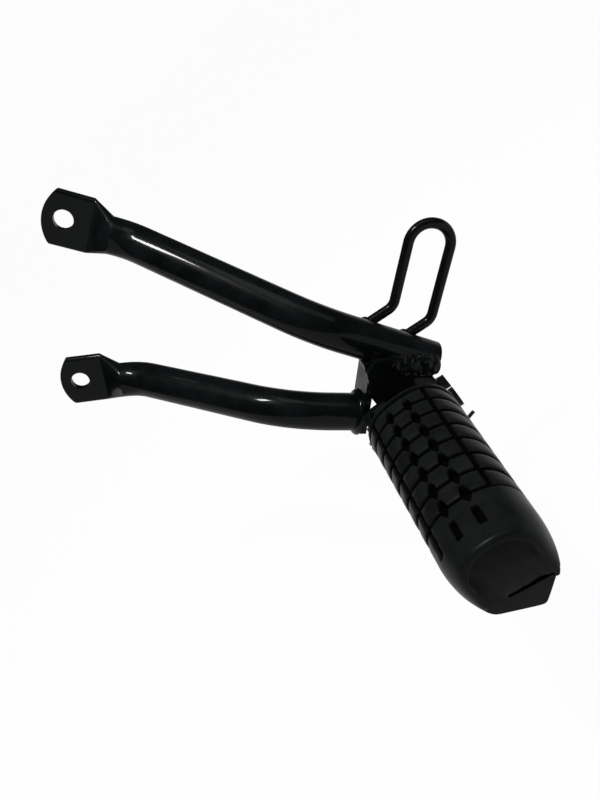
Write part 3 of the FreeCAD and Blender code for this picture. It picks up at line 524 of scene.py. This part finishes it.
def tread_depth(x, y, z):
    """How far the surface sinks at each point, in mm: the deepest of grooves, pits, creases and crowns.

    A groove is a smooth step of its half width less the distance to its line.  A pit is one less the sum of
    its scaled offsets to the power 1.5, which gives a long outline with blunt points.  Crowns sink with the
    fourth power of the distance from the middle of a block or leaf.
    """
    across = x - TREAD_X
    reach = np.abs(across)
    along = to_row_line(y)
    high = RUBBER_Z + RUBBER_HEIGHT / 2
    down = np.clip((high - z) / (high - LEAF_FOOT), 0, 1)
    slanted = to_row_line(y - down * np.where(across > 0, FRONT_SLANT, REAR_SLANT))
    on_flank = reach > SHOULDER_HALF
    line = np.abs(np.where(on_flank, slanted, along))
    from_middle = np.clip(1 - line / (ROW_PITCH / 2), 0, 1)
    from_pits = np.abs(reach - PIT_ACROSS)
    cross = TREAD_DEPTH * smooth_step(CROSS_GROOVE / 2 - line, -CROSS_EDGE, CROSS_EDGE)
    crown = np.where(on_flank, LEAF_SWELL, BLOCK_CROWN) * from_middle ** CROWN_POWER
    crease = CREASE_DEPTH * smooth_step(CREASE / 2 - from_pits, *CREASE_EDGE)
    pit = (2 * from_pits / PIT_WIDTH) ** PIT_POWER + (2 * np.abs(along + PIT_BACK) / PIT_LENGTH) ** PIT_POWER
    pit = PIT_DEPTH * smooth_step(1 - pit, *PIT_EDGE) * (y > FIRST_LINE - ROW_PITCH / 2)
    in_rows = smooth_step(y, RIM_LINE - ROW_MARGIN, RIM_LINE - RIM_FADE)
    in_rows = in_rows * smooth_step(LAST_LINE + ROW_MARGIN - y, 0, LAST_FADE)
    depth = np.maximum.reduce([cross, crown, crease, pit]) * in_rows
    depth = np.maximum(depth, pit * (y < LAST_LINE + ROW_PITCH / 2))
    to_shoulder = np.abs(reach - SHOULDER_HALF)
    groove_end = np.where(across > 0, FRONT_GROOVE_END, LAST_LINE)
    shoulder = TREAD_DEPTH * smooth_step(SHOULDER_GROOVE / 2 - to_shoulder, -SHOULDER_EDGE, SHOULDER_EDGE)
    shoulder = shoulder * smooth_step(y, RIM_LINE - SHOULDER_START, RIM_LINE)
    shoulder = shoulder * smooth_step(groove_end - y, 0, SHOULDER_FADE)
    above_foot = smooth_step(z, LEAF_FOOT - FOOT_EASE, LEAF_FOOT + FOOT_EASE)
    return np.maximum(depth, shoulder) * np.where(on_flank, above_foot, 1) * (z > UNDERSIDE)


pit_bottom = np.array([TREAD_X + PIT_ACROSS]), np.array([FIRST_LINE - PIT_BACK]), np.array([RUBBER_Z])
print("depth in the middle of a pit %.1f mm" % tread_depth(*pit_bottom)[0])

# %% [markdown]
# ## Where the points go
# An even grid would blur the tread, so the points crowd where its edges are: along the rubber at both sides
# of each row groove, and round it at the pits and shoulders.  The upper part of the outline, which reaches
# a little below its sides, takes most of the columns.

# %% Spacing of the points
AROUND, ALONG = 320, 258
UPPER_SHARE, SIDE_OVERLAP = 0.72, 0.35
PIT_SIDE, SHOULDER_SIDE, ROW_SIDE, END_SIDE = 1.2, 0.9, 0.6, 1.5
FINE_STEPS, ARC_STEPS = 20000, 4000


def graded(low, high, count, lines, reach, weight):
    """Places from low to high that crowd together near the given lines.

    The density is one plus a bell of that weight and reach at each line, and the places split its sum evenly.
    """
    fine = np.linspace(low, high, FINE_STEPS)
    density = 1 + weight * np.exp(-((fine[:, None] - np.asarray(lines)[None, :]) / reach) ** 2).sum(axis=1)
    total = np.concatenate([[0], np.cumsum((density[1:] + density[:-1]) / 2)])
    return np.interp(np.linspace(0, total[-1], count), total, fine)


def places_along():
    """Places along the rubber, crowded at both sides of each row groove and at the end."""
    rows = np.concatenate([[RIM_LINE], FIRST_LINE + ROW_PITCH * np.arange(ROWS)])
    lines = np.concatenate([rows - ROW_SIDE, rows + ROW_SIDE, [RUBBER_END - END_SIDE, RUBBER_END]])
    return graded(RUBBER_Y, RUBBER_END, ALONG, lines, reach=0.9, weight=2.2)


def angles_round():
    """Angles round the outline, crowded on its upper part at the edges of the pits and shoulder grooves.

    The angle of each edge is looked up from its x on the upper half of the widest outline.
    """
    edges = np.array([PIT_ACROSS - PIT_SIDE, PIT_ACROSS + PIT_SIDE,
                      SHOULDER_HALF - SHOULDER_SIDE, SHOULDER_HALF + SHOULDER_SIDE])
    arc = np.linspace(0, np.pi, ARC_STEPS)
    arc_x = RUBBER_X + RUBBER_WIDTH / 2 * signed_power(np.cos(arc), 2 / SQUARENESS)
    lines = np.interp(TREAD_X + np.concatenate([-edges, edges]), arc_x[::-1], arc[::-1])
    low, high = -SIDE_OVERLAP, np.pi + SIDE_OVERLAP
    upper = graded(low, high, int(AROUND * UPPER_SHARE), lines, reach=0.05, weight=1.6)
    lower = np.linspace(high, 2 * np.pi - SIDE_OVERLAP, AROUND - len(upper) + 2)[1:-1]
    return np.concatenate([upper, lower])


angle, places = angles_round(), places_along()
print("rubber grid", len(places), "by", len(angle), "finest step %.2f mm" % np.diff(places).min())

# %% [markdown]
# ## The sides of the rubber
# The outline is drawn at every place, and each point sinks by the depth of the tread there.  Two blind slots
# behind the tread sink into the same grid, so they need no cutting.

# %% Rubber sides
SLOT_WIDTH, SLOT_LENGTH, SLOT_CORNER = 2.9, 9.2, 0.9
SLOT_Y, SLOT_DEPTH, SLOT_EDGE = 226.0, 3.4, (-0.3, 0.4)


def rounded_box(across, along, half_across, half_along, corner):
    """Signed distance to a rounded rectangle: outside plus inside distance less the corner radius."""
    over_x = np.abs(across) - half_across + corner
    over_y = np.abs(along) - half_along + corner
    outside = np.hypot(np.maximum(over_x, 0), np.maximum(over_y, 0))
    return outside + np.minimum(np.maximum(over_x, over_y), 0) - corner


def rubber_sides(angle, y):
    """Rows of points along the rubber's sides, and how far each point is sunk.

    Each outline point is centre plus half size times the cosine or sine raised to 2 / squareness, then moved
    inwards along the outline's normal by the depth of the tread or the slots.
    """
    half_x, half_z = (half[:, None] for half in rubber_halves(y))
    cosine, sine = np.cos(angle), np.sin(angle)
    x = RUBBER_X + half_x * signed_power(cosine, 2 / SQUARENESS)
    z = RUBBER_Z + half_z * signed_power(sine, 2 / SQUARENESS)
    place = np.broadcast_to(y[:, None], x.shape)
    normal_x = signed_power(cosine, 2 - 2 / SQUARENESS) / half_x
    normal_z = signed_power(sine, 2 - 2 / SQUARENESS) / half_z
    size = np.hypot(normal_x, normal_z)
    slot = rounded_box(np.abs(x - TREAD_X) - PIT_ACROSS, place - SLOT_Y, SLOT_WIDTH / 2, SLOT_LENGTH / 2,
                       SLOT_CORNER)
    slots = SLOT_DEPTH * smooth_step(-slot, *SLOT_EDGE) * (z > RUBBER_Z)
    depth = np.maximum(tread_depth(x, place, z), slots)
    return np.stack([x - depth * normal_x / size, place, z - depth * normal_z / size], axis=-1), depth


sides, depth = rubber_sides(angle, places)
print("rubber sides", sides.shape[:2], "deepest point %.1f mm" % depth.max())

# %% [markdown]
# ## The lip under the tip
# At the end the underside runs down to a wedge-shaped lip.  It could be a piece of its own, but on the real
# part it is moulded with the rest, so the points of the same grid are only pushed down.

# %% Rubber lip
LIP_APEX, LIP_LOW, LIP_REAR_SLOPE, LIP_FRONT_SLOPE, LIP_ROUND = -97.0, -194.5, 1.2, 0.58, 2.0
LIP_LENGTH, LIP_FULL, LIP_FRONT, LIP_EASE = 16.0, 2.0, -75.0, 6.0


def pull_lip_down(points):
    """Lowers the underside near the end to the higher of two sloping lines, with a small round between them.

    The higher line is half of the sum of both and of the hypotenuse of their difference and the round.
    """
    x, y, z = np.moveaxis(points, -1, 0)
    rear_edge = LIP_LOW - LIP_REAR_SLOPE * (x - LIP_APEX)
    front_edge = LIP_LOW + LIP_FRONT_SLOPE * (x - LIP_APEX)
    lip_floor = (rear_edge + front_edge + np.hypot(rear_edge - front_edge, LIP_ROUND)) / 2
    share = smooth_step(y, RUBBER_END - LIP_LENGTH, RUBBER_END - LIP_FULL)
    share = share * smooth_step(RUBBER_Z - z, 0, LIP_EASE) * smooth_step(LIP_FRONT - x, 0, LIP_EASE)
    return np.stack([x, y, z + share * np.minimum(lip_floor - z, 0)], axis=-1)


sides = pull_lip_down(sides)
print("lowest point of the lip %.1f mm" % sides[..., 2].min())

# %% [markdown]
# ## The end face
# The face steps in below the ridge and swells a little in the middle.  It is made of rings, each one the last
# outline shrunk a little more, so the face joins the sides point for point.

# %% Rubber end face
END_CENTRE = np.array([RUBBER_X, RUBBER_END, RUBBER_Z])
CAP_RINGS, RING_POWER, TOP_EASE = 36, 1.5, (-0.2, 0.5)
RIM_STEP, RIM_SHARE, SIDE_SHARE, FACE_SWELL = 2.6, 0.1, 0.45, 2.0


def end_face(outline, sine):
    """Rings of points from the last outline to the middle of the end face, and how far in each ring lies.

    Each ring is the outline shrunk to its centre.  It steps in at the rim, at once on top and slowly at the
    sides, and swells by one less the square of its size.
    """
    size = 1 - np.linspace(0, 1, CAP_RINGS + 2)[1:-1, None] ** RING_POWER
    rings = END_CENTRE + (outline - END_CENTRE) * size[..., None]
    inwards = 1 - size
    on_top = smooth_step(sine, *TOP_EASE)
    step = on_top * smooth_step(inwards, 0, RIM_SHARE) + (1 - on_top) * smooth_step(inwards, 0, SIDE_SHARE)
    rings[..., 1] += FACE_SWELL * (1 - size ** 2) - RIM_STEP * step
    return rings, inwards[:, 0]


face_rings, inwards = end_face(sides[-1], np.sin(angle))
print("end face", len(face_rings), "rings")

# %% [markdown]
# ## The notch above the lip
# Low on the face the mould left a notch, and the lip below it is set back.  The grid's own rows do not follow
# the notch, which would leave a ragged edge, so points close to its two lines are first drawn to them.

# %% Rubber notch
NOTCH_TOP, NOTCH_FOOT, NOTCH_DEPTH, LIP_BACK = -178.4, -180.6, 3.6, 1.6
NOTCH_MIDDLE, NOTCH_TILT, NOTCH_SPREAD = -94.0, 0.06, 0.06
NOTCH_FADE, NOTCH_RIM, NOTCH_REACH = (-88.5, -87.0), (0.02, 0.2), (7.0, 4.5)
SNAP, WALL = 0.85, 0.12


def cut_notch(points, inside):
    """Points pushed back into the notch and to the lip, and the share of the notch's depth at each.

    Points near the notch's two lines move close to them, by the cube of their distance, and every point below
    its top is held back to the notch or the lip.
    """
    x, y, z = np.moveaxis(points, -1, 0)
    tilt = NOTCH_TILT * (x - NOTCH_MIDDLE)
    foot = NOTCH_FOOT + NOTCH_SPREAD * (x - NOTCH_MIDDLE)
    near_end = smooth_step(y, *(RUBBER_END - back for back in NOTCH_REACH))
    height = z - tilt
    for line in (NOTCH_TOP, foot):
        off = np.clip(height - line, -SNAP, SNAP)
        side = np.where(off >= 0, 1, -1)
        height = height + near_end * (side * (WALL + (SNAP - WALL) * np.abs(off / SNAP) ** 3) - off)
    below_top = smooth_step(NOTCH_TOP - height, -WALL, WALL)
    below_foot = smooth_step(foot - height, -WALL, WALL)
    in_notch = below_top * (1 - below_foot) * inside * (1 - smooth_step(x, *NOTCH_FADE))
    set_back = RUBBER_END - np.maximum(NOTCH_DEPTH * in_notch, LIP_BACK * below_foot)
    return np.stack([x, np.minimum(y, set_back), height + tilt], axis=-1), in_notch


inside = np.concatenate([np.zeros(len(sides)), smooth_step(inwards, *NOTCH_RIM)])[:, None]
whole, in_notch = cut_notch(np.concatenate([sides, face_rings]), inside)
print("rubber rows", len(whole), "points in the notch", int((in_notch > 0.5).sum()))

# %% [markdown]
# ## The rubber as one piece
# The sides and the face are now one grid, and its columns are turned round so that the faces look outwards.
# The tread's depth, plus the notch, goes with the points as the attribute that the material paints shade
# from.

# %% Rubber surface
# Painted shade: the notch's share is added, so the material darkens the notch as it darkens the grooves.
groove = np.concatenate([depth, np.zeros(face_rings.shape[:2])]) / TREAD_DEPTH + in_notch
start_point = (RUBBER_X, RUBBER_Y, RUBBER_Z)
end_point = END_CENTRE + np.array([0, FACE_SWELL - RIM_STEP, 0])
rubber = closed_surface("tread_rubber", whole[:, ::-1], start_point, end_point, matt_rubber)
values = rubber.data.attributes.new("groove", "FLOAT", "POINT")
levels = np.concatenate([np.clip(groove[:, ::-1], 0, 1).ravel(), [0, 0]])
values.data.foreach_set("value", levels.astype(np.float32))
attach(rubber, "peg")
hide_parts("peg_rubber")

# %% [markdown]
# ## The lumpy seam weld
# A wide weld fills the corner between the upper tube and the clevis.  Seen close, it is a row of overlapping
# pools with drops of spatter on it.  A profile carried along a straight path gives it: an ellipse whose
# height rises and falls once per pool, with two waves so that no two pools are alike, and a dome for
# each drop, at places drawn by chance from a fixed seed.

# %% Weld spatter
SEAM_WIDTH = 12.0
DROPS, DROP_SIZES, DROP_HEIGHT, SEED = 34, (0.8, 1.5), 0.5, 7
DROP_SPAN, DROP_TURNS = (0.08, 0.92), (0.1, 0.9)


def spatter(along, turn, length):
    """Height of the drops at each point of the bead.

    A drop is a half ellipsoid: its height times the root of one less the squared distance to its middle over
    its radius.  A turn round the bead counts as a third of its width for each radian.
    """
    chance = np.random.default_rng(SEED)
    drop_place = chance.uniform(*DROP_SPAN, DROPS) * length
    drop_turn = chance.uniform(*DROP_TURNS, DROPS) * np.pi
    drop_size = chance.uniform(*DROP_SIZES, DROPS)
    far_along = along[..., None] - drop_place
    far_round = (turn[..., None] - drop_turn) * SEAM_WIDTH / 3
    far = np.hypot(far_along, far_round) / drop_size
    return (DROP_HEIGHT * drop_size * np.sqrt(np.clip(1 - far ** 2, 0, 1))).max(axis=-1)


print("drops of spatter", DROPS)

# %% Seam weld
SEAM_FRONT = np.array([-94.0, 92.4, -158.1])
SEAM_REAR = np.array([-118.2, 92.4, -179.1])
SEAM_TILT, SEAM_HEIGHT, SEAM_LEVEL = 3.2, 2.9, 0.72
SEAM_ALONG, SEAM_AROUND = 220, 120
FIRST_ROW, LAST_ROW, END_POWER = 0.004, 0.996, 6
POOL, POOL_RISE, POOL_BOW, POOL_DRIFT, DRIFT_RATE = 5.5, 0.1, 0.9, 0.8, 0.35
SLOW_WAVE, QUICK_WAVE, SIDE_WAVE = (0.12, 0.55, 2.6), (0.06, 1.7, 3.4), (0.06, 1.3)


def seam_grid():
    """Rows of points round the bead, from its front end to its rear end.

    Centre line plus half width across times cosine plus height outwards times sine; the height is scaled
    by a level plus waves along the bead, and the ends close as rounded steps.  A wave is its height, its
    radians for each millimetre along, and how far it shifts with the turn.
    """
    share = np.linspace(FIRST_ROW, LAST_ROW, SEAM_ALONG)[:, None]
    turn = np.linspace(0, 2 * np.pi, SEAM_AROUND, endpoint=False)[None, :]
    line = SEAM_REAR - SEAM_FRONT
    length = np.linalg.norm(line)
    rise = np.array([line[2], 0, -line[0]]) / length
    across = rise * SEAM_WIDTH / 2 + np.array([0, -SEAM_TILT / 2, 0])
    out = np.array([0, 1.0, 0])
    middle = SEAM_FRONT + rise * SEAM_WIDTH / 2 + line * share[..., None]
    place = share * length + POOL_BOW * np.cos(turn)
    pools = POOL_RISE * np.sin(np.pi * place / POOL + POOL_DRIFT * np.sin(DRIFT_RATE * place)) ** 2
    height, rate, shift = SLOW_WAVE
    waves = height * np.sin(rate * place + shift * np.cos(turn))
    height, rate, shift = QUICK_WAVE
    waves = waves + height * np.sin(rate * place - shift * np.sin(turn + 1))
    ends = np.sqrt(1 - np.abs(2 * share - 1) ** END_POWER)
    high = SEAM_HEIGHT * (SEAM_LEVEL + pools + waves) * ends
    height, rate = SIDE_WAVE
    wide = (1 + height * np.sin(rate * place)) * ends
    lifted = high * np.sin(turn) + spatter(share * length, turn, length)
    return middle + (wide * np.cos(turn))[..., None] * across + lifted[..., None] * out


grid = seam_grid()
seam = closed_surface("seam_weld_bead", grid, grid[0].mean(axis=0), grid[-1].mean(axis=0), weld_enamel)
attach(seam, "hanger")
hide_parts("clevis_seam_weld")

# %% [markdown]
# ## A finish for every solid
# The record names a finish for each solid.  Here each of those finishes is matched to one of the materials
# above, and the welds get the paint with the deeper ripple.

# %% Assign materials
FINISHES = {
    gloss_enamel: ("upper_stay_tube", "lower_stay_tube", "gusset_plate", "guard_loop"),
    rusty_enamel: ("clevis_bracket",),
    weld_enamel: ("clevis_seam_weld", "lower_stay_weld", "gusset_weld", "loop_front_weld", "loop_rear_weld"),
    dull_zinc: ("hinge_pin", "pin_washer", "retaining_clip", "thrust_washer"),
    black_wire: ("pressure_spring",),
    satin_forging: ("peg_arm",),
    oil_bronze: ("pivot_bush",),
    matt_rubber: ("peg_rubber",),
}
for material, names in FINISHES.items():
    for name in names:
        nodes[name].material_slots[0].material = material
        print(name, "gets", material.name, "slots", len(nodes[name].material_slots))
